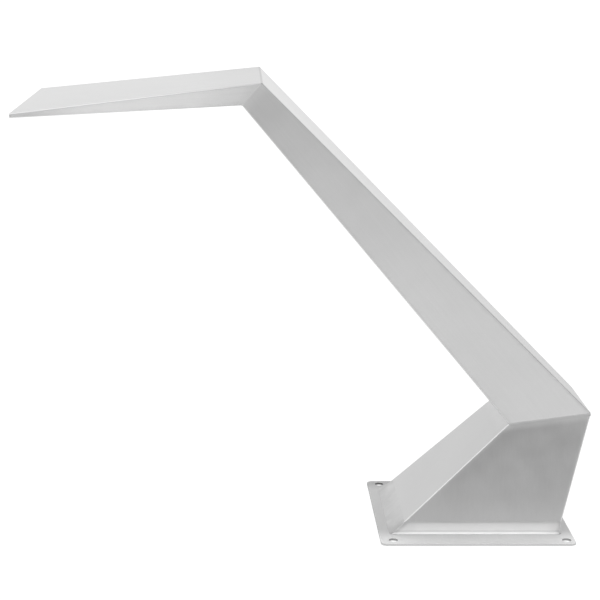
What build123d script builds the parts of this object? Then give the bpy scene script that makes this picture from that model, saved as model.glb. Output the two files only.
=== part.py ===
from build123d import *
import os
from math import cos, radians, sin, tan

os.makedirs("parts", exist_ok=True)

# Pool waterfall spout: a hollow, tapered stainless-steel body that carries water up from a
# floor inlet and pours it as a wide, thin sheet. It is welded from flat blanks, each one
# a plain prism of sheet metal, and stands on a bolted square flange.
#
# Frame, in millimetres: the origin is the centre of the four bolt holes on the underside of
# the flange, +Z is up, the outlet points along -X, and the part is symmetric about Y = 0.

# ---------------------------------------------------------------- driving dimensions
sheet = 1.2                     # thickness of the body's blanks

flange_side = 220.0
flange_centre = -2.5            # the plate reaches further out in front of its holes
flange_thickness = 2.5
flange_corner_radius = 7.0
bolt_spacing = 196.0
bolt_hole_radius = 5.25

# The body's outline in the plane Y = 0, as (x, z) of the outer faces, from floor to lip
foot_front, foot_back = (-98.0, flange_thickness), (92.2, flange_thickness)
knee_front, knee_back = (34.5, 127.0), (128.2, 138.9)
elbow_under, elbow_top = (-269.5, 493.8), (-248.0, 518.0)
lip_top = (-511.5, 489.3)
lip_height = 5.0

# Half the body's outer width where its side faces bend
foot_half_width = 77.2
knee_half_width = 57.3          # at the front of the knee
elbow_half_width = 110.0        # at the top of the elbow
lip_half_width = 146.0          # at the top of the lip

socket_bore_radius = 22.4       # minor radius of a G 1 1/2 pipe thread
socket_radius = 28.0
socket_length = 30.0
socket_lead_in = 1.5
socket_clearance = 0.2          # between the socket and the hole that it stands in

flange_edge_radius = 0.4

# Welds: the leg of a bead is its width on each of the two faces that it joins, and its fill
# is how full it is, from a bare corner at 0 to a flat face at 1
foot_rise, foot_spread = 14.0, 3.0  # up the body, and out along the flange
socket_leg = 2.0
notch_leg, notch_fill = 1.0, 0.75
valley_leg, valley_fill = 4.5, 0.6
crease_radius = 3.0             # of the dressed welds over the knee's and the elbow's creases

diffuser_height = 66.0
diffuser_thickness = 1.5
diffuser_gap = 1.0
diffuser_hole_radius = 4.5
diffuser_pitch = 15.0
diffuser_columns, diffuser_rows = 8, 7
ledge_width, ledge_thickness = 9.0, 3.0

spacer_count = 3
spacer_radius = 2.0
spacer_pitch = 75.0
spacer_inset = 12.0             # from the lip back to the spacers

overrun = 8.0                   # extra length that a blank has until its ends are mitred

# ---------------------------------------------------------------- the faces of the body
lip_under = (lip_top[0], lip_top[1] - lip_height)


def place(spot, half_width=0.0):
    """An (x, z) spot of the outline, moved sideways by half the body's width."""
    return Vector(spot[0], half_width, spot[1])


def plane_through(a, b, c, outward):
    """The plane that holds three points, with its normal on the outward side."""
    normal = (b - a).cross(c - a).normalized()
    if normal.dot(outward) < 0:
        normal = -normal
    return Plane(origin=a, x_dir=b - a, z_dir=normal)


def cross_plane(a, b, towards):
    """The plane across the body that holds the outline's line a-b, facing a third spot."""
    flat = Vector(0, 1, 0)
    return plane_through(place(a), place(b), place(a) + flat, place(towards) - place(a))


def meet(first, second, third):
    """The point that three planes share."""
    a, b, c = first.z_dir, second.z_dir, third.z_dir
    total = b.cross(c) * first.origin.dot(a)
    total += c.cross(a) * second.origin.dot(b)
    total += a.cross(b) * third.origin.dot(c)
    return total / a.dot(b.cross(c))


def mirrored(plane):
    """The same plane on the other side of Y = 0."""
    origin = Vector(plane.origin.X, -plane.origin.Y, plane.origin.Z)
    normal = Vector(plane.z_dir.X, -plane.z_dir.Y, plane.z_dir.Z)
    return Plane(origin=origin, z_dir=normal)


def width_at(side, spot):
    """Half the body's width at an outline spot, from its side face."""
    normal = side.z_dir
    flat = side.origin - place(spot)
    return flat.dot(normal) / normal.Y


right = Vector(0, 1, 0)
trunk_side = plane_through(
    place(foot_front, foot_half_width),
    place(foot_back, foot_half_width),
    place(knee_front, knee_half_width),
    right,
)
arm_side = plane_through(
    place(knee_front, knee_half_width),
    place(knee_back, width_at(trunk_side, knee_back)),
    place(elbow_top, elbow_half_width),
    right,
)
spout_side = plane_through(
    place(elbow_top, elbow_half_width),
    place(elbow_under, width_at(arm_side, elbow_under)),
    place(lip_top, lip_half_width),
    right,
)

# The planes that end the three sections, each facing up the body
foot_cut = Plane(origin=place(foot_front), z_dir=(0, 0, 1))
knee_cut = cross_plane(knee_front, knee_back, elbow_under)
elbow_cut = cross_plane(elbow_under, elbow_top, lip_top)
lip_cut = Plane(origin=place(lip_top), z_dir=(-1, 0, 0))

# Each section's outer faces and the two planes that end it
sections = {
    "trunk": {
        "front": cross_plane(foot_front, knee_front, (foot_front[0], knee_front[1])),
        "back": cross_plane(foot_back, knee_back, (knee_back[0], foot_back[1])),
        "right": trunk_side,
        "left": mirrored(trunk_side),
        "ends": (foot_cut, knee_cut),
    },
    "arm": {
        "under": cross_plane(knee_front, elbow_under, (elbow_under[0], knee_front[1])),
        "back": cross_plane(knee_back, elbow_top, (knee_back[0], elbow_top[1])),
        "right": arm_side,
        "left": mirrored(arm_side),
        "ends": (knee_cut, elbow_cut),
    },
    "spout": {
        "under": cross_plane(elbow_under, lip_under, (lip_under[0], foot_front[1])),
        "top": cross_plane(elbow_top, lip_top, (lip_top[0], 2 * elbow_top[1])),
        "right": spout_side,
        "left": mirrored(spout_side),
        "ends": (elbow_cut, lip_cut),
    },
}


def neighbours(section, side):
    """The two faces that meet a face along its long edges."""
    across = [name for name in section if name not in ("ends", "left", "right")]
    return across if side in ("left", "right") else ["left", "right"]


def local(plane, direction):
    """A direction that lies in a plane, as that plane's own (x, y)."""
    return (direction.dot(plane.x_dir), direction.dot(plane.y_dir))


def finish(piece, name):
    """Name a sub-part and write it out."""
    piece.part.label = name
    export_step(piece.part, f"parts/{name}.step")


class Crease:
    """A sharp fold across the body's back or top, bevelled and capped with a round weld."""

    def __init__(self, lower, upper, spot):
        self.corner = place(spot)
        self.out = (lower.z_dir + upper.z_dir).normalized()
        half_turn = radians(lower.z_dir.get_angle(upper.z_dir) / 2)
        flat_depth = crease_radius * tan(half_turn) * sin(half_turn)
        self.half_flat = crease_radius * sin(half_turn)
        self.crown = crease_radius * (1 - cos(half_turn))
        self.bevel = Plane(
            origin=self.corner - self.out * flat_depth, x_dir=(0, 1, 0), z_dir=self.out
        )


knee_crease = Crease(sections["trunk"]["back"], sections["arm"]["back"], knee_back)
elbow_crease = Crease(sections["arm"]["back"], sections["spout"]["top"], elbow_top)
bevels = {
    "trunk_back": [knee_crease.bevel],
    "arm_back": [knee_crease.bevel, elbow_crease.bevel],
    "spout_top": [elbow_crease.bevel],
}


def cut_to_length(section, crease_bevels=()):
    """Mitre the part being built to its section's ends, and bevel it at sharp creases."""
    lower, upper = section["ends"]
    split(bisect_by=lower, keep=Keep.TOP)
    split(bisect_by=upper, keep=Keep.BOTTOM)
    for bevel in crease_bevels:
        split(bisect_by=bevel, keep=Keep.BOTTOM)


# ---------------------------------------------------------------- the twelve blanks
for section_name, section in sections.items():
    near_end, far_end = section["ends"]
    before, after = near_end.offset(-overrun), far_end.offset(overrun)
    for side in [name for name in section if name != "ends"]:
        inner = section[side].offset(-sheet)
        one, other = [section[name].offset(-sheet) for name in neighbours(section, side)]
        corners = [
            meet(inner, one, before),
            meet(inner, other, before),
            meet(inner, other, after),
            meet(inner, one, after),
        ]
        with BuildPart() as blank:
            with BuildSketch(inner):
                with BuildLine():
                    Polyline(*[inner.to_local_coords(corner) for corner in corners], close=True)
                make_face()
            extrude(amount=sheet)
            cut_to_length(section, bevels.get(f"{section_name}_{side}", []))
        finish(blank, f"{section_name}_{side}_panel")

# ---------------------------------------------------------------- the long corner welds
# Two blanks meet along their inner edges only. The open corner between them is filled with
# weld metal, dressed to a round as thick as the sheet.
for section_name, section in sections.items():
    near_end, far_end = section["ends"]
    before, after = near_end.offset(-overrun), far_end.offset(overrun)
    with BuildPart() as seams:
        for across in neighbours(section, "left"):
            for side in ("left", "right"):
                flat, upright = section[across], section[side]
                inner_pair = flat.offset(-sheet), upright.offset(-sheet)
                start, end = meet(*inner_pair, before), meet(*inner_pair, after)
                profile = Plane(origin=start, x_dir=flat.z_dir, z_dir=end - start)
                middle = (flat.z_dir + upright.z_dir).normalized()
                with BuildSketch(profile):
                    with BuildLine():
                        edge = local(profile, flat.z_dir * sheet)
                        crown = local(profile, middle * sheet)
                        other_edge = local(profile, upright.z_dir * sheet)
                        ThreePointArc(edge, crown, other_edge)
                        Polyline(other_edge, (0, 0), edge)
                    make_face()
                extrude(amount=(end - start).length)
        cut_to_length(section, bevels.get(f"{section_name}_{neighbours(section, 'left')[1]}", []))
    finish(seams, f"{section_name}_corner_welds")


# ---------------------------------------------------------------- the two cross welds
def bead(lower, upper, start, end, leg, fill, trims=()):
    """A bead of weld in the hollow line between two outer faces, a leg wide on each."""
    profile = Plane(origin=start, x_dir=lower.z_dir, z_dir=end - start)
    toes = []
    for face, other in ((lower, upper), (upper, lower)):
        away = face.z_dir.cross(profile.z_dir).normalized() * leg
        toes.append(away if away.dot(other.z_dir) > 0 else -away)
    crown = (toes[0] + toes[1]) * fill / 2
    with BuildPart() as weld:
        with BuildSketch(profile):
            with BuildLine():
                ThreePointArc(*[local(profile, spot) for spot in (toes[0], crown, toes[1])])
                Polyline(local(profile, toes[1]), (0, 0), local(profile, toes[0]))
            make_face()
        extrude(amount=(end - start).length)
        for trim in trims:
            split(bisect_by=trim, keep=Keep.BOTTOM)
    return weld.part


def cap(crease, half_length):
    """The round weld over a bevelled crease."""
    profile = Plane(origin=crease.bevel.origin, x_dir=crease.out, z_dir=(0, 1, 0))
    with BuildPart() as weld:
        with BuildSketch(profile):
            with BuildLine():
                ThreePointArc((0, -crease.half_flat), (crease.crown, 0), (0, crease.half_flat))
                Line((0, crease.half_flat), (0, -crease.half_flat))
            make_face()
        extrude(amount=half_length, both=True)
    return weld.part


crossings = {
    "knee": ("trunk", "front", "arm", "back", knee_front, knee_back, knee_crease),
    "elbow": ("arm", "under", "spout", "top", elbow_under, elbow_top, elbow_crease),
}
for name, (below, hollow_below, above, crest_above, hollow, back, crease) in crossings.items():
    lower, upper = sections[below], sections[above]
    hollow_width, back_width = (width_at(lower["right"], spot) for spot in (hollow, back))
    inner_corner = meet(
        lower["back"].offset(-sheet), lower["right"].offset(-sheet), lower["ends"][1]
    )
    notch_ends = [place(hollow, sign * (hollow_width + notch_leg)) for sign in (-1, 1)]
    sides = [section[side] for section in (lower, upper) for side in ("left", "right")]
    beads = [
        cap(crease, inner_corner.Y),
        bead(lower[hollow_below], upper["under"], *notch_ends, notch_leg, notch_fill, sides),
    ]
    crests = [lower["back"], upper[crest_above], crease.bevel]
    for side, sign in (("left", -1), ("right", 1)):
        start, end = place(hollow, sign * hollow_width), place(back, sign * back_width)
        inset = (end - start).normalized() * sheet
        edge = start + inset, end - inset
        beads.append(bead(lower[side], upper[side], *edge, valley_leg, valley_fill, crests))
    with BuildPart() as cross_weld:
        add(beads)
    finish(cross_weld, f"{name}_weld")

# ---------------------------------------------------------------- the foot
with BuildPart() as flange:
    with BuildSketch():
        with Locations((flange_centre, 0)):
            RectangleRounded(flange_side, flange_side, flange_corner_radius)
        with GridLocations(bolt_spacing, bolt_spacing, 2, 2):
            Circle(bolt_hole_radius, mode=Mode.SUBTRACT)
        Circle(socket_radius + socket_clearance, mode=Mode.SUBTRACT)
    extrude(amount=flange_thickness)
    rim = flange.faces().sort_by(Axis.Z)[-1].outer_wire()
    fillet(rim.edges(), flange_edge_radius)
finish(flange, "base_flange")

trunk = sections["trunk"]
ring = (("front", "left"), ("back", "left"), ("back", "right"), ("front", "right"))
foot_level = Plane.XY.offset(flange_thickness)
bead_level = foot_level.offset(foot_rise)
foot_corners = [foot_level.to_local_coords(meet(trunk[x], trunk[y], foot_level)) for x, y in ring]
bead_corners = [bead_level.to_local_coords(meet(trunk[x], trunk[y], bead_level)) for x, y in ring]
with BuildPart() as foot_weld:
    with BuildSketch(foot_level):
        with BuildLine():
            Polyline(*foot_corners, close=True)
        make_face()
        offset(amount=foot_spread, kind=Kind.INTERSECTION)
    with BuildSketch(bead_level):
        with BuildLine():
            Polyline(*bead_corners, close=True)
        make_face()
    loft(ruled=True)
    with BuildSketch(foot_level):
        with BuildLine():
            Polyline(*foot_corners, close=True)
        make_face()
    with BuildSketch(bead_level):
        with BuildLine():
            Polyline(*bead_corners, close=True)
        make_face()
    loft(ruled=True, mode=Mode.SUBTRACT)
finish(foot_weld, "base_weld")

# ---------------------------------------------------------------- the water inlet
with BuildPart() as socket:
    Cylinder(socket_radius, socket_length, align=(Align.CENTER, Align.CENTER, Align.MIN))
    Hole(socket_bore_radius)
    mouth = socket.edges().filter_by(GeomType.CIRCLE).group_by(Axis.Z)[0].sort_by(SortBy.RADIUS)[0]
    chamfer(mouth, socket_lead_in)
    upper_rim = socket.edges().filter_by(GeomType.CIRCLE).group_by(Axis.Z)[-1]
    chamfer(upper_rim, socket_lead_in / 2)
finish(socket, "inlet_socket")

with BuildPart() as socket_weld:
    with BuildSketch(Plane.XZ):
        with BuildLine():
            Polyline(
                (socket_radius, flange_thickness),
                (socket_radius + socket_leg, flange_thickness),
                (socket_radius, flange_thickness + socket_leg),
                close=True,
            )
        make_face()
    revolve(axis=Axis.Z)
finish(socket_weld, "socket_weld")

# ---------------------------------------------------------------- the flow diffuser
inside = {name: trunk[name].offset(-sheet) for name in ("front", "back", "left", "right")}
diffuser_bottom = Plane.XY.offset(diffuser_height)
diffuser_top = diffuser_bottom.offset(diffuser_thickness)
front_edge = meet(inside["front"], inside["right"], diffuser_top) - Vector(-diffuser_gap, 0, 0)
back_edge = meet(inside["back"], inside["right"], diffuser_bottom) - Vector(diffuser_gap, 0, 0)
diffuser_depth = back_edge.X - front_edge.X
diffuser_half_width = front_edge.Y - diffuser_gap
diffuser_centre = ((front_edge.X + back_edge.X) / 2, 0)
with BuildPart() as diffuser:
    with BuildSketch(diffuser_bottom):
        with Locations(diffuser_centre):
            Rectangle(diffuser_depth, 2 * diffuser_half_width)
            with GridLocations(diffuser_pitch, diffuser_pitch, diffuser_columns, diffuser_rows):
                Circle(diffuser_hole_radius, mode=Mode.SUBTRACT)
    extrude(amount=diffuser_thickness)
finish(diffuser, "flow_diffuser")

with BuildPart() as ledges:
    for sign in (-1, 1):
        with BuildSketch(diffuser_bottom):
            with Locations((diffuser_centre[0], sign * (front_edge.Y - ledge_width / 2))):
                Rectangle(diffuser_depth - 2 * ledge_thickness, 2 * ledge_width)
        extrude(amount=-ledge_thickness)
    for side in ("left", "right"):
        split(bisect_by=inside[side], keep=Keep.BOTTOM)
finish(ledges, "diffuser_ledges")

# ---------------------------------------------------------------- the outlet
with BuildPart() as spacers:
    with BuildSketch(Plane.XY.offset(lip_under[1] - lip_height)):
        with Locations((lip_top[0] + spacer_inset, 0)):
            with GridLocations(0, spacer_pitch, 1, spacer_count):
                Circle(spacer_radius)
    extrude(amount=3 * lip_height)
    split(bisect_by=sections["spout"]["under"].offset(-sheet), keep=Keep.BOTTOM)
    split(bisect_by=sections["spout"]["top"].offset(-sheet), keep=Keep.BOTTOM)
finish(spacers, "lip_spacers")
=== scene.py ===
from math import cos, pi, radians, sin, tan
import bmesh
import bpy
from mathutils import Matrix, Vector, noise


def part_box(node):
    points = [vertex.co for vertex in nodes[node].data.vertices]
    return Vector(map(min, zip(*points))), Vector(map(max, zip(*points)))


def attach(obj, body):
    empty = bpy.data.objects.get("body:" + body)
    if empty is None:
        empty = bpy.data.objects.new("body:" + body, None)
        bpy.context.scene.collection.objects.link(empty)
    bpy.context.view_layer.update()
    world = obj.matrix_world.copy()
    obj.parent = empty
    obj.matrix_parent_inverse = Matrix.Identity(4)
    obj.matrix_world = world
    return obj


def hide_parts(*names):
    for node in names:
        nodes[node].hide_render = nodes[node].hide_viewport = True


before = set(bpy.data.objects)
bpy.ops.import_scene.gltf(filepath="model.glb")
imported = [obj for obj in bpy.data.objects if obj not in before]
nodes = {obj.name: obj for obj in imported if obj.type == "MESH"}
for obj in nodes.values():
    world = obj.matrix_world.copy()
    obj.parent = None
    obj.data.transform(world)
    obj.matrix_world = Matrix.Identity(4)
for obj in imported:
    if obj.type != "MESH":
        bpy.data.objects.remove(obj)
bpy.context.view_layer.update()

# A stainless-steel pool waterfall spout. The flat blanks and the flange are the CAD nodes
# themselves, in brushed steel. The welds are made here, rounded and dressed as a welder
# leaves them, on planes and corners read from those nodes, and so is the threaded inlet.

MM = 0.001

# ------------------------------------------------------------------ the body's geometry
SHEET = 1.2 * MM
SECTIONS = {
    "trunk": ("front", "back", "left", "right"),
    "arm": ("under", "back", "left", "right"),
    "spout": ("under", "top", "left", "right"),
}
# The two sections at each joint, their faces in its hollow and their faces at its crest
JOINTS = {
    "knee": ("trunk", "arm", ("front", "under"), ("back", "back")),
    "elbow": ("arm", "spout", ("under", "under"), ("back", "top")),
}
CREST_RADIUS = 3 * MM


class Face:
    """A flat face of the body: a point on it and its outward normal."""

    def __init__(self, origin, normal):
        self.origin, self.normal = Vector(origin), Vector(normal).normalized()

    def moved(self, distance):
        return Face(self.origin + self.normal * distance, self.normal)

    def flipped(self):
        return Face(self.origin, -self.normal)


def middle(mesh):
    """The average place of a mesh's points."""
    return sum((vertex.co for vertex in mesh.vertices), Vector()) / len(mesh.vertices)


def outer_face(mesh, inside):
    """The largest flat face of a blank that looks away from a point inside the body."""
    outward = [p for p in mesh.polygons if p.normal.dot(p.center - inside) > 0]
    largest = max(outward, key=lambda p: p.area)
    return Face(largest.center, largest.normal)


def meet(one, two, three):
    """The point that three faces share."""
    a, b, c = one.normal, two.normal, three.normal
    total = b.cross(c) * one.origin.dot(a)
    total += c.cross(a) * two.origin.dot(b)
    total += a.cross(b) * three.origin.dot(c)
    return total / a.dot(b.cross(c))


faces = {}
for section, sides in SECTIONS.items():
    meshes = {side: nodes[f"{section}_{side}_panel"].data for side in sides}
    inside = sum((middle(mesh) for mesh in meshes.values()), Vector()) / len(meshes)
    for side, mesh in meshes.items():
        faces[section, side] = outer_face(mesh, inside)

foot_plane = Face((0, 0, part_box("base_flange")[1].z), (0, 0, 1))
lip_plane = Face(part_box("spout_top_panel")[0], (-1, 0, 0))


def joint_plane(low, high, *pairs):
    """The plane across the body through the two outer corners that both sections share."""
    corners_painted_light = [meet(faces[low, a], faces[high, b], faces[low, "left"]) for a, b in pairs]
    plane = Face(corners_painted_light[0], Vector((0, 1, 0)).cross(corners_painted_light[1] - corners_painted_light[0]))
    upward = middle(nodes[f"{high}_left_panel"].data) - middle(nodes[f"{low}_left_panel"].data)
    return plane if plane.normal.dot(upward) > 0 else plane.flipped()


knee_plane, elbow_plane = (joint_plane(*joint) for joint in JOINTS.values())
ENDS = {
    "trunk": (foot_plane, knee_plane),
    "arm": (knee_plane, elbow_plane),
    "spout": (elbow_plane, lip_plane),
}


def bevel_of(low, high):
    """The plane that takes the sharp fold off two faces, for a round of the crest's radius."""
    out = (low.normal + high.normal).normalized()
    half_turn = low.normal.angle(high.normal) / 2
    fold = meet(low, high, Face((0, 0, 0), (0, 1, 0)))
    return Face(fold - out * CREST_RADIUS * tan(half_turn) * sin(half_turn), out)


BEVELS = [
    bevel_of(faces[low, over[0]], faces[high, over[1]]) for low, high, _, over in JOINTS.values()
]


def run_of(section):
    """The direction in which a section runs, from its near end to its far end."""
    near, far = ENDS[section]
    left = faces[section, "left"]
    across = faces[section, SECTIONS[section][0]]
    return (meet(across, left, far) - meet(across, left, near)).normalized()


def seam_run(low, high, hollow, over):
    """The direction in which a joint's seam crosses the side, from its hollow to its crest."""
    left = faces[low, "left"]
    return meet(faces[low, over[0]], faces[high, over[1]], left) - meet(
        faces[low, hollow[0]], faces[high, hollow[1]], left
    )


# ------------------------------------------------------------------ camera
CAMERA_PLACE = (-0.2730, -1.8779, 0.6722)
CAMERA_PITCH = 12.417           # degrees below the horizon
CAMERA_LENS = 99.92
CAMERA_SHIFT = 0.1025


def make_camera():
    """The photograph's view: from the body's left side, a little above its knee."""
    data = bpy.data.cameras.new("camera")
    data.lens = CAMERA_LENS
    data.sensor_width = 36.0
    data.shift_x = CAMERA_SHIFT
    data.clip_start = 0.05
    data.clip_end = 60.0
    camera = bpy.data.objects.new("camera", data)
    camera.location = CAMERA_PLACE
    camera.rotation_euler = (radians(90 - CAMERA_PITCH), 0.0, 0.0)
    bpy.context.scene.collection.objects.link(camera)
    bpy.context.scene.camera = camera


# ------------------------------------------------------------------ node helpers
class Graph:
    """A short way to write a material's node tree."""

    def __init__(self, tree):
        self.tree = tree
        tree.nodes.clear()

    def add(self, kind, inputs=None, **settings):
        node = self.tree.nodes.new(kind)
        for key, value in settings.items():
            setattr(node, key, value)
        for key, value in (inputs or {}).items():
            if isinstance(value, bpy.types.NodeSocket):
                self.tree.links.new(value, node.inputs[key])
            else:
                node.inputs[key].default_value = value
        return node

    def maths(self, operation, a, b=0.0, c=0.0):
        return self.add("ShaderNodeMath", {0: a, 1: b, 2: c}, operation=operation).outputs[0]

    def total(self, *values):
        whole = values[0]
        for value in values[1:]:
            whole = self.maths("ADD", whole, value)
        return whole

    def ramp(self, value, start, end, low=0.0, high=1.0, kind="LINEAR"):
        node = self.add(
            "ShaderNodeMapRange",
            {"Value": value, "From Min": start, "From Max": end, "To Min": low, "To Max": high},
            interpolation_type=kind,
        )
        return node.outputs[0]

    def noise(self, place, scale, detail=2.0, stretch=None, along=(1, 0, 0)):
        """Smooth noise, about 0.5 on average, drawn out along a direction if asked."""
        if stretch:
            turn = Vector(along).to_track_quat("X", "Z").to_euler()
            place = self.add(
                "ShaderNodeMapping",
                {"Vector": place, "Rotation": turn, "Scale": (stretch, 1.0, 1.0)},
                vector_type="TEXTURE",
            ).outputs[0]
        texture = self.add(
            "ShaderNodeTexNoise", {"Vector": place, "Scale": scale, "Detail": detail}
        )
        return texture.outputs["Fac"]


# ------------------------------------------------------------------ materials
BOLT_PLACE = 98.0 * MM          # how far out in X and in Y each bolt hole is
HOLE_REACH = 6.0 * MM           # a little more than the hole's radius


def distance_to(graph, place, plane):
    """How far a spot is from a plane, in metres."""
    along = graph.add(
        "ShaderNodeVectorMath", {0: place, 1: tuple(plane.normal)}, operation="DOT_PRODUCT"
    ).outputs["Value"]
    offset = graph.maths("SUBTRACT", along, plane.origin.dot(plane.normal))
    return graph.maths("ABSOLUTE", offset)


def steel(
    name,
    along,
    tone=0.62,
    roughness=0.34,
    metallic=1.0,
    cloud=0.012,
    grain=0.007,
    scratch=0.1,
    fade=None,
    rework_and_painted_light=(),
    cut_edges=0.0,
):
    """Satin stainless steel, brushed along a direction and faintly mottled. A fade is painted light
    and shade: a plane, a reach in metres and how much the tone changes over it. Marks are places
    near some planes whose tone changes, where a seam was worked again and where light and shade
    are painted: the planes, a reach in millimetres and the change of tone. A plate's sheared edges
    change tone by cut_edges, and its bolt holes get painted shade inside."""
    material = bpy.data.materials.new(name)
    material.use_nodes = True
    graph = Graph(material.node_tree)
    place = graph.add("ShaderNodeTexCoord").outputs["Object"]

    fine = graph.noise(place, 1900.0, 2.0, stretch=70.0, along=along)
    lines = graph.noise(place, 420.0, 3.0, stretch=40.0, along=along)
    mottle = graph.noise(place, 30.0, 5.0)
    haze = graph.noise(place, 7.0, 1.0)

    value = graph.total(
        graph.ramp(fine, 0.3, 0.7, -grain, grain),
        graph.ramp(lines, 0.3, 0.7, -grain, grain),
        graph.ramp(mottle, 0.3, 0.7, -cloud, cloud),
        graph.ramp(haze, 0.3, 0.7, -cloud, cloud),
        tone,
    )
    rough = graph.total(
        graph.ramp(lines, 0.3, 0.7, -0.01, 0.01),
        graph.ramp(mottle, 0.3, 0.7, -0.02, 0.02),
        roughness,
    )
    height = graph.maths("ADD", fine, graph.maths("MULTIPLY", lines, 1.5))
    # Painted light and shade, changing with distance from a plane
    if fade:
        plane, reach, change = fade
        value = graph.maths(
            "ADD", value, graph.ramp(distance_to(graph, place, plane), 0.0, reach, 0.0, change)
        )
    drift = graph.noise(place, 60.0, 3.0)
    swirl = graph.noise(place, 900.0, 4.0)
    # The tone changes near each set of planes, where a seam was worked again and where light and
    # shade are painted
    for planes, reach, change in rework_and_painted_light:
        gap = distance_to(graph, place, planes[0])
        for plane in planes[1:]:
            gap = graph.maths("MINIMUM", gap, distance_to(graph, place, plane))
        sway = min(0.25, 1.2 / reach)
        wander = graph.ramp(drift, 0.3, 0.7, -sway, sway)
        scaled_gap = graph.maths("MULTIPLY_ADD", gap, 1.0 / (reach * MM), wander)
        rework_and_painted_light_mask = graph.ramp(scaled_gap, 0.15, 1.0, 1.0, 0.0, "SMOOTHSTEP")
        shift = graph.ramp(swirl, 0.3, 0.7, change - 0.01, change + 0.01)
        value = graph.maths("MULTIPLY_ADD", rework_and_painted_light_mask, shift, value)
        rough = graph.maths("MULTIPLY_ADD", rework_and_painted_light_mask, 0.05, rough)
        height = graph.maths("MULTIPLY_ADD", rework_and_painted_light_mask, swirl, height)
    if cut_edges:
        # The sheared sides of a plate are darker and coarser than its faces
        normal = graph.add("ShaderNodeNewGeometry").outputs["Normal"]
        up = graph.add("ShaderNodeSeparateXYZ", {0: normal}).outputs[2]
        side = graph.ramp(graph.maths("ABSOLUTE", up), 0.35, 0.75, 1.0, 0.0)
        value = graph.maths("MULTIPLY_ADD", side, cut_edges, value)
        rough = graph.maths("MULTIPLY_ADD", side, 0.12, rough)
        spot = graph.add("ShaderNodeSeparateXYZ", {0: place}).outputs
        off = []
        for axis in (0, 1):
            out = graph.maths("ABSOLUTE", spot[axis])
            off.append(graph.maths("ABSOLUTE", graph.maths("SUBTRACT", out, BOLT_PLACE)))
        furthest = graph.maths("MAXIMUM", *off)
        # The walls of the bolt holes get painted shade
        inside = graph.ramp(furthest, HOLE_REACH, HOLE_REACH + 1.0 * MM, 1.0, 0.0)
        dark = graph.maths("MULTIPLY", inside, side)
        value = graph.maths("MULTIPLY", value, graph.ramp(dark, 0.0, 1.0, 1.0, 0.65))

    colour = graph.add("ShaderNodeCombineColor", {"Red": value, "Green": value, "Blue": value})
    bump = graph.add(
        "ShaderNodeBump", {"Strength": scratch, "Distance": 0.00002, "Height": height}
    )
    shader = graph.add(
        "ShaderNodeBsdfPrincipled",
        {
            "Base Color": colour.outputs[0],
            "Metallic": metallic,
            "Roughness": rough,
            "Normal": bump.outputs[0],
        },
    )
    graph.add("ShaderNodeOutputMaterial", {"Surface": shader.outputs[0]})
    return material


def dress(node, material):
    """Gives a CAD node its material."""
    mesh = nodes[node].data
    mesh.materials.clear()
    mesh.materials.append(material)


# How light each blank is painted at its lower end and at its upper end, and how rough it is:
# the same steel in lit and shaded copies, with painted light and shade fading along each blank
PAINTED_LIGHT_AND_ROUGHNESS = {
    ("trunk", "front"): (0.575, 0.575, 0.36),
    ("trunk", "back"): (0.62, 0.62, 0.34),
    ("arm", "under"): (0.62, 0.62, 0.34),
    ("arm", "back"): (0.48, 0.77, 0.36),
    ("spout", "under"): (0.62, 0.62, 0.34),
    ("spout", "top"): (0.68, 0.68, 0.36),
}
for side in ("left", "right"):
    PAINTED_LIGHT_AND_ROUGHNESS["trunk", side] = (0.54, 0.595, 0.32)
    PAINTED_LIGHT_AND_ROUGHNESS["arm", side] = (0.59, 0.65, 0.34)
    PAINTED_LIGHT_AND_ROUGHNESS["spout", side] = (0.69, 0.80, 0.34)


def blank_marks(section, side):
    """Where a blank's tone changes: along its seams, which were worked again, and near its ends and
    across the spout's sides, where light and shade are painted.
    """
    own = faces[section, side]
    others = [faces[section, other] for other in SECTIONS[section] if other != side]
    seams = [face for face in others if abs(face.normal.dot(own.normal)) < 0.8]
    near, far = ENDS[section]
    upright = side in ("left", "right")
    rework_and_painted_light = [(seams, 5.0, -0.03 if upright and section != "trunk" else 0.01)]
    # Near the ends, painted light and shade: lighter on the trunk near its foot and just under its
    # knee, lighter on the arm near the elbow, darker on the spout after the elbow
    if section == "trunk":
        rework_and_painted_light.append(([near], 45.0, 0.02))
        rework_and_painted_light.append(([far], 11.0, 0.06))
    elif section == "arm":
        rework_and_painted_light.append(([far], 15.0, 0.04 if upright else 0.02))
    else:
        rework_and_painted_light.append(([near], 60.0, -0.02))
    # Painted light across the middle of the spout's sides, painted shade towards the lip, and more
    # painted shade just after the elbow
    if section == "spout" and upright:
        rework_and_painted_light.append(([near], 12.0, -0.03))
        rework_and_painted_light.append(([Face(own.origin, far.normal)], 90.0, 0.05))
        rework_and_painted_light.append(([far], 82.0, -0.14))
        rework_and_painted_light.append(([far], 2.5, -0.14))
    return rework_and_painted_light


def dress_blanks():
    """Brushed steel on every blank, each brushed along its own length, with painted light and shade
    along it.
    """
    for (section, side), (low_painted_tone, high_painted_tone, roughness) in PAINTED_LIGHT_AND_ROUGHNESS.items():
        near = ENDS[section][0]
        length = abs((faces[section, side].origin - near.origin).dot(near.normal)) * 2
        finish = steel(
            f"brushed_{section}_{side}",
            (0, 0, 1) if section == "trunk" else run_of(section),
            tone=low_painted_tone,
            roughness=roughness,
            fade=(near, length, high_painted_tone - low_painted_tone),
            rework_and_painted_light=blank_marks(section, side),
        )
        dress(f"{section}_{side}_panel", finish)


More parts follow.
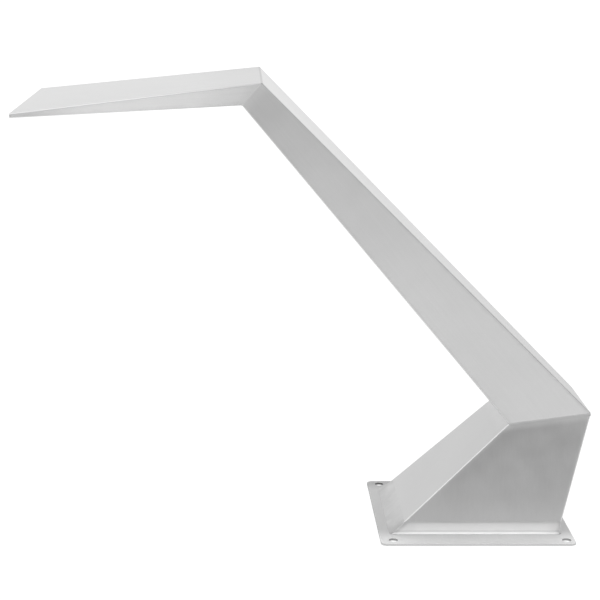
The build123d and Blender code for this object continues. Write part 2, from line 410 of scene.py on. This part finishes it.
# ------------------------------------------------------------------ mesh helpers
def solid(name, points, polygons, material, replaced, smooth_below=35.0):
    """A new closed piece that stands for CAD nodes and rides on the body."""
    mesh = bpy.data.meshes.new(name)
    mesh.from_pydata(points, [], polygons)
    form = bmesh.new()
    form.from_mesh(mesh)
    bmesh.ops.remove_doubles(form, verts=form.verts, dist=0.002 * MM)
    bmesh.ops.recalc_face_normals(form, faces=form.faces)
    form.to_mesh(mesh)
    form.free()
    mesh.shade_smooth()
    mesh.set_sharp_from_angle(angle=radians(smooth_below))
    mesh.materials.append(material)
    piece = bpy.data.objects.new(name, mesh)
    bpy.context.scene.collection.objects.link(piece)
    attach(piece, "root")
    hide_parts(*replaced)


class Shape:
    """Points and faces gathered from several closed strips, before they become one piece."""

    def __init__(self):
        self.points, self.polygons = [], []

    def loft(self, rings, closed=False):
        """Skins matching closed rings of points, with flat ends unless the rings close too."""
        base, count = len(self.points), len(rings[0])
        for ring in rings:
            self.points.extend(ring)
        steps = len(rings) if closed else len(rings) - 1
        for i in range(steps):
            here, there = base + i * count, base + (i + 1) % len(rings) * count
            for j in range(count):
                k = (j + 1) % count
                self.polygons.append((here + j, here + k, there + k, there + j))
        if not closed:
            last = base + (len(rings) - 1) * count
            self.polygons.append(tuple(range(base, base + count)))
            self.polygons.append(tuple(range(last, last + count)))

    def trimmed(self, planes):
        """The same shape, cut off above each plane and closed again."""
        form = bmesh.new()
        verts = [form.verts.new(point) for point in self.points]
        for polygon in self.polygons:
            form.faces.new([verts[i] for i in polygon])
        for plane in planes:
            cut = bmesh.ops.bisect_plane(
                form,
                geom=form.verts[:] + form.edges[:] + form.faces[:],
                dist=0.0005 * MM,
                plane_co=plane.origin,
                plane_no=plane.normal,
                clear_outer=True,
            )
            rim = [item for item in cut["geom_cut"] if isinstance(item, bmesh.types.BMEdge)]
            open_rim = [edge for edge in rim if edge.is_boundary]
            if open_rim:
                bmesh.ops.holes_fill(form, edges=open_rim)
        form.verts.index_update()
        self.points = [vert.co.copy() for vert in form.verts]
        self.polygons = [tuple(vert.index for vert in face.verts) for face in form.faces]
        form.free()
        return self

    def take(self, other):
        """Adds another shape to this one."""
        base = len(self.points)
        self.points.extend(other.points)
        self.polygons.extend(tuple(base + i for i in polygon) for polygon in other.polygons)


def turned(start, end, share):
    """A unit direction part of the way round from one unit direction to another."""
    angle = start.angle(end)
    return (start * sin((1 - share) * angle) + end * sin(share * angle)) / sin(angle)


ROUND_STEPS = 10


def fan(start, end):
    """Unit directions at even steps from one direction round to another."""
    return [turned(start, end, i / ROUND_STEPS) for i in range(ROUND_STEPS + 1)]


# ------------------------------------------------------------------ the long corner welds
OVERHANG = 8 * MM               # how much longer a seam starts than it is once trimmed


def corner_welds(section, material):
    """The four dressed corners of a section, each a round as thick as the sheet."""
    near, far = ENDS[section]
    whole = Shape()
    for across in SECTIONS[section][:2]:
        for side in ("left", "right"):
            flat, upright = faces[section, across], faces[section, side]
            inner = flat.moved(-SHEET), upright.moved(-SHEET)
            start = meet(*inner, near.moved(-OVERHANG))
            end = meet(*inner, far.moved(OVERHANG))
            spokes = fan(flat.normal, upright.normal)
            seam = Shape()
            seam.loft([[spot] + [spot + spoke * SHEET for spoke in spokes] for spot in (start, end)])
            whole.take(seam.trimmed([near.flipped(), far, *BEVELS]))
    solid(
        f"{section}_corner_rounds", whole.points, whole.polygons, material,
        [f"{section}_corner_welds"],
    )


# ------------------------------------------------------------------ the knee and the elbow
BAND_STEPS = 10                 # across a band
BAND_STATIONS = 6               # along a band
BAND_OVERHANG = 12 * MM
BAND_ROOT = 0.6 * MM            # how far a band reaches under the faces it joins
BAND_LIFT = 0.01 * MM           # keeps its toes just clear of them
NOTCH_LEG = 0.5 * MM
ROOT_DEPTH = 0.9 * MM           # how far a crest or the foot weld reaches into the sheet


def band(low, high, start, end, low_leg, high_leg, trims):
    """A dressed weld in the hollow between two faces: it leaves the lower face smoothly and
    ends on the upper one, a leg wide on each."""
    line = (end - start).normalized()
    legs = []
    for face, other in ((low, high), (high, low)):
        away = face.normal.cross(line).normalized()
        legs.append(away if away.dot(other.normal) > 0 else -away)
    low_toe, high_toe = legs[0] * low_leg, legs[1] * high_leg
    pull = legs[0] * (low_leg - high_leg) * 0.35
    curve = []
    for i in range(BAND_STEPS + 1):
        t = i / BAND_STEPS
        curve.append(low_toe * (1 - t) ** 2 + pull * 2 * t * (1 - t) + high_toe * t**2)
    out = (low.normal + high.normal).normalized()
    sunk = -out * BAND_ROOT
    ring = curve + [high_toe + sunk, sunk, low_toe + sunk]
    lift = out * BAND_LIFT
    stations = [start + (end - start) * s / BAND_STATIONS for s in range(BAND_STATIONS + 1)]
    stations = [start - line * BAND_OVERHANG, *stations, end + line * BAND_OVERHANG]
    shape = Shape()
    shape.loft([[spot + point + lift for point in ring] for spot in stations])
    return shape.trimmed(trims)


def crest(low, high, spot, half_width, radius):
    """A round over the sharp fold between two faces, tangent to both."""
    out = (low.normal + high.normal).normalized()
    half_turn = low.normal.angle(high.normal) / 2
    centre = spot - out * (radius / cos(half_turn))
    profile = [centre + spoke * radius for spoke in fan(low.normal, high.normal)]
    depth = out * ROOT_DEPTH
    ring = profile + [profile[-1] - depth, profile[0] - depth]
    half = Vector((0, half_width, 0))
    shape = Shape()
    shape.loft([[point - half for point in ring], [point + half for point in ring]])
    return shape


def cross_weld(joint, legs, material):
    """Everything that joins two sections round their shared mitre: a band on each side, a
    round over the crest and a bead in the hollow."""
    low, high, hollow, over = JOINTS[joint]
    low_hollow, high_hollow = faces[low, hollow[0]], faces[high, hollow[1]]
    low_crest, high_crest = faces[low, over[0]], faces[high, over[1]]
    left_end = meet(low_crest, high_crest, faces[low, "left"])
    whole = Shape()
    for side in ("left", "right"):
        start = meet(low_hollow, high_hollow, faces[low, side])
        end = meet(low_crest, high_crest, faces[low, side])
        trims = [low_crest, high_crest, low_hollow, high_hollow, *BEVELS]
        whole.take(band(faces[low, side], faces[high, side], start, end, *legs, trims))
    spot = Vector((left_end.x, 0, left_end.z))
    rounded = crest(low_crest, high_crest, spot, abs(left_end.y) + 1 * MM, CREST_RADIUS * 1.02)
    sides = [faces[part, side] for part in (low, high) for side in ("left", "right")]
    whole.take(rounded.trimmed(sides))
    notch_left = meet(low_hollow, high_hollow, faces[low, "left"])
    notch_right = meet(low_hollow, high_hollow, faces[low, "right"])
    whole.take(
        band(low_hollow, high_hollow, notch_left, notch_right, NOTCH_LEG, NOTCH_LEG, sides)
    )
    solid(f"{joint}_dressing", whole.points, whole.polygons, material, [f"{joint}_weld"])


# ------------------------------------------------------------------ the foot
FOOT_RISE = 14 * MM
FOOT_SPREAD = 3 * MM
FOOT_STEPS = 18
BEAD_HEIGHT = 0.15              # this and the next are shares of the rise
UNDERCUT_HEIGHT = 0.04
RIPPLE = 0.12 * MM              # how far the welder's hand wandered at the toe
RIPPLE_SCALE = 90.0
SIDE_STEPS = 60
CORNER_STEPS = 8


def foot_outline(height):
    """How far the weld stands out at a height, both as shares of its size: a long hollow
    sweep, and at its toe a small round bead that is slightly undercut."""
    sweep = (1.0 - height) ** 1.4 - 0.01 * height
    bead = 0.09 * sin(pi * min(height / BEAD_HEIGHT, 1.0))
    undercut = 0.05 * max(1.0 - height / UNDERCUT_HEIGHT, 0.0)
    return sweep + bead - undercut


def foot_ring(height, spread, ripple):
    """A level loop round the body at a height over the flange, spread out from its walls."""
    level = Face((0, 0, foot_plane.origin.z + height), (0, 0, 1))
    walls = [faces["trunk", side] for side in ("front", "left", "back", "right")]
    flat = [Vector((w.normal.x, w.normal.y, 0)).normalized() for w in walls]
    inner = [w.moved(-SHEET) for w in walls]
    corners_painted_light = [meet(inner[i], inner[(i + 1) % 4], level) for i in range(4)]
    reach = [SHEET / Vector((w.normal.x, w.normal.y)).length + spread for w in walls]
    loop = []
    for i in range(4):
        before, after = flat[i], flat[(i + 1) % 4]
        for step in range(CORNER_STEPS + 1):
            share = step / CORNER_STEPS
            radius = reach[i] * (1 - share) + reach[(i + 1) % 4] * share
            loop.append(corners_painted_light[i] + turned(before, after, share) * radius)
        here = corners_painted_light[i] + after * reach[(i + 1) % 4]
        there = corners_painted_light[(i + 1) % 4] + after * reach[(i + 1) % 4]
        loop.extend(here.lerp(there, step / SIDE_STEPS) for step in range(1, SIDE_STEPS))
    centre = sum(loop, Vector()) / len(loop)
    moved = []
    for point in loop:
        away = Vector((point.x - centre.x, point.y - centre.y, 0)).normalized()
        wave = noise.noise(Vector((point.x, point.y, 0.0)) * RIPPLE_SCALE)
        moved.append(point + away * wave * ripple)
    return moved


def base_weld(material):
    """The long dressed fillet between the body and the flange."""
    rings = []
    for step in range(FOOT_STEPS + 1):
        rise = (step / FOOT_STEPS) ** 1.6
        spread = foot_outline(rise)
        ripple = RIPPLE * max(spread, 0.0)
        rings.append(foot_ring(rise * FOOT_RISE, spread * FOOT_SPREAD, ripple))
    rings.append(foot_ring(FOOT_RISE, -ROOT_DEPTH, 0.0))
    rings.append(foot_ring(0.0, -ROOT_DEPTH, 0.0))
    shape = Shape()
    shape.loft(rings, closed=True)
    solid("base_fillet", shape.points, shape.polygons, material, ["base_weld"], 50.0)


# ------------------------------------------------------------------ the inlet
THREAD_PITCH = 2.309 * MM
THREAD_DEPTH = 1.479 * MM
SOCKET_BORE = 22.4 * MM         # the thread's inner radius
SOCKET_LEAD_IN = 1.5 * MM
SOCKET_CHAMFER = SOCKET_LEAD_IN / 2
TURN_STEPS = 72
PITCH_STEPS = 8


def turn_ring(height, radius_at):
    """A level ring of points round the Z axis; radius_at gives its radius at a share of the
    turn."""
    ring = []
    for step in range(TURN_STEPS):
        turn = step / TURN_STEPS
        radius, angle = radius_at(turn), 2 * pi * turn
        ring.append(Vector((radius * cos(angle), radius * sin(angle), height)))
    return ring


def threaded_socket(material):
    """The inlet socket with its female pipe thread cut in."""
    low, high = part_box("inlet_socket")
    radius, length = (high.x - low.x) / 2, high.z - low.z
    levels = int(length / THREAD_PITCH * PITCH_STEPS)
    rings = []
    for level in range(levels + 1):
        z = length * level / levels
        run_out = min(1.0, z / SOCKET_LEAD_IN, (length - z) / SOCKET_CHAMFER)
        flare = max(0.0, SOCKET_LEAD_IN - z) + max(0.0, z - length + SOCKET_CHAMFER)

        def bore_at(turn):
            phase = (z / THREAD_PITCH - turn) % 1.0
            cut = min(1.0, max(0.0, 1.25 - abs(phase - 0.5) * 3.2))
            return SOCKET_BORE + flare + THREAD_DEPTH * cut * run_out

        rings.append(turn_ring(low.z + z, bore_at))
    rings.append(turn_ring(low.z + length, lambda turn: radius - SOCKET_CHAMFER))
    for z in (length - SOCKET_CHAMFER, 0.0):
        rings.append(turn_ring(low.z + z, lambda turn: radius))
    shape = Shape()
    shape.loft(rings, closed=True)
    solid(
        "threaded_inlet", shape.points, shape.polygons, material,
        ["inlet_socket"],
    )


# ------------------------------------------------------------------ studio
def stage_plane(name, corners_painted_light, shade):
    """A flat stage piece through four corners; shade(graph) gives its surface shader."""
    mesh = bpy.data.meshes.new(name)
    mesh.from_pydata(corners_painted_light, [], [(0, 1, 2, 3)])
    plane = bpy.data.objects.new(name, mesh)
    bpy.context.scene.collection.objects.link(plane)
    material = bpy.data.materials.new(name)
    material.use_nodes = True
    graph = Graph(material.node_tree)
    graph.add("ShaderNodeOutputMaterial", {"Surface": shade(graph)})
    mesh.materials.append(material)
    return plane


def painted(colour, glow):
    """A plain matt surface that is also slightly self-lit."""

    def shade(graph):
        return graph.add(
            "ShaderNodeBsdfPrincipled",
            {
                "Base Color": (colour, colour, colour, 1.0),
                "Roughness": 0.9,
                "Emission Color": (1.0, 1.0, 1.0, 1.0),
                "Emission Strength": glow,
            },
        ).outputs[0]

    return shade


def graded(near_light, far_light, near, far):
    """Plain light that falls off with distance along -Y."""

    def shade(graph):
        place = graph.add("ShaderNodeTexCoord").outputs["Object"]
        y = graph.add("ShaderNodeSeparateXYZ", {0: place}).outputs[1]
        light = graph.ramp(y, -near, -far, near_light, far_light, "SMOOTHSTEP")
        return graph.add("ShaderNodeEmission", {"Strength": light}).outputs[0]

    return shade


def make_studio():
    """A white floor in white light, with a soft light above and in front. One card stands
    dark behind the camera, and one lies on the floor in front of the object; the cards are
    seen only in the steel."""
    half = 30.0
    stage_plane(
        "floor",
        [(-half, -half, 0), (half, -half, 0), (half, half, 0), (-half, half, 0)],
        painted(0.03, 1.0),
    )
    unseen = [
        stage_plane(
            "dark_card",
            [(-5.0, -3.2, 0.0), (5.0, -3.2, 0.0), (5.0, -3.2, 0.6), (-5.0, -3.2, 0.6)],
            painted(0.03, 0.0),
        ),
        stage_plane(
            "floor_card",
            [(-4.0, -3.19, 0.002), (4.0, -3.19, 0.002), (4.0, -0.3, 0.002), (-4.0, -0.3, 0.002)],
            graded(1.05, 0.5, 0.3, 1.9),
        ),
    ]
    soft_light = stage_plane(
        "soft_light",
        [(-2.0, -1.5, 0.9), (2.0, -1.5, 0.9), (2.0, -0.6, 2.3), (-2.0, -0.6, 2.3)],
        lambda graph: graph.add("ShaderNodeEmission", {"Strength": 1.25}).outputs[0],
    )
    soft_light.visible_camera = False
    soft_light.visible_shadow = False
    for card in unseen:
        card.visible_camera = False
        card.visible_diffuse = False
        card.visible_shadow = False

    world = bpy.data.worlds.new("world")
    bpy.context.scene.world = world
    world.use_nodes = True
    graph = Graph(world.node_tree)
    light = graph.add("ShaderNodeBackground", {"Color": (1, 1, 1, 1), "Strength": 1.0})
    graph.add("ShaderNodeOutputWorld", {"Surface": light.outputs[0]})
    bpy.context.scene.view_settings.view_transform = "Standard"


# ------------------------------------------------------------------ the finish and painted light of each part
def flange_steel():
    """Plate whose sheared edges are dark, with painted light along its left side and painted shade
    along its right.
    """
    painted_light_side, painted_shade_side = (Face(corner, (0, 1, 0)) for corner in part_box("base_flange"))
    return steel(
        "brushed_flange_painted_light", (0, 1, 0), tone=0.60, roughness=0.62, metallic=0.5, cloud=0.015,
        rework_and_painted_light=[([painted_light_side], 48.0, 0.235), ([painted_shade_side], 40.0, -0.11)],
        cut_edges=-0.24,
    )


# Where the tone of a section's corner welds differs from the rest, and how: painted highlights along
# the trunk's front corners and the spout's top corners, a dark line along the arm's back corners,
# and the spout's corners darker towards the elbow
CORNER_MARKS = {
    "trunk": [([faces["trunk", "front"]], 3.0, 0.14)],
    "arm": [([faces["arm", "back"]], 3.0, -0.16)],
    "spout": [([faces["spout", "top"]], 3.0, 0.1), ([elbow_plane], 90.0, -0.14)],
}


def corner_steel(section):
    """Corners brushed along their section, with painted highlights and darker bands along some of
    them.
    """
    return steel(
        f"dressed_{section}_corners", run_of(section), tone=0.66, roughness=0.34,
        rework_and_painted_light=CORNER_MARKS[section],
    )


def joint_steel(joint, tone, rework_and_painted_light=()):
    """A cross weld brushed along its seam."""
    return steel(
        f"dressed_{joint}", seam_run(*JOINTS[joint]), tone=tone, roughness=0.36, rework_and_painted_light=rework_and_painted_light
    )


def foot_steel():
    """The foot weld: a painted highlight along its toe on both sides, darker just above it, and
    painted shade at its ends and corners.
    """
    toes = [faces["trunk", side].moved(FOOT_SPREAD) for side in ("left", "right")]
    necks = [toe.moved(-0.32 * FOOT_SPREAD) for toe in toes]
    ends = [faces["trunk", "front"], faces["trunk", "back"]]
    corners_painted_light = [
        Face(meet(end, faces["trunk", side], foot_plane), end.normal + faces["trunk", side].normal)
        for end in ends for side in ("left", "right")
    ]
    return steel(
        "dressed_foot_painted_light", (1, 0, 0), tone=0.70, roughness=0.3,
        # A painted highlight on the toes, darker just above them, and painted shade at the ends and
        # corners
        rework_and_painted_light=[
            (toes, 0.6, 0.24), (necks, 0.5, -0.07), (ends, 6.0, -0.125),
            ([end.moved(FOOT_SPREAD) for end in ends], 4.0, -0.05), (corners_painted_light, 12.0, -0.05),
        ],
    )


# ------------------------------------------------------------------ the whole picture
make_camera()
make_studio()

dress_blanks()
dress("base_flange", flange_steel())
mill_steel = steel("mill_steel", (1, 0, 0), tone=0.5, roughness=0.42, cloud=0.03)
for name in (
    "flow_diffuser", "diffuser_ledges", "lip_spacers", "inlet_socket", "socket_weld",
    "base_weld", "knee_weld", "elbow_weld", "trunk_corner_welds", "arm_corner_welds",
    "spout_corner_welds",
):
    dress(name, mill_steel)

for section in SECTIONS:
    corner_welds(section, corner_steel(section))
cross_weld("knee", (3 * MM, 0.6 * MM), joint_steel("knee", 0.62))
cross_weld("elbow", (1.2 * MM, 0.6 * MM), joint_steel("elbow", 0.70, [(BEVELS, 2.5, -0.15)]))
base_weld(foot_steel())
threaded_socket(steel("turned_steel", (0, 1, 0), tone=0.55, roughness=0.28))
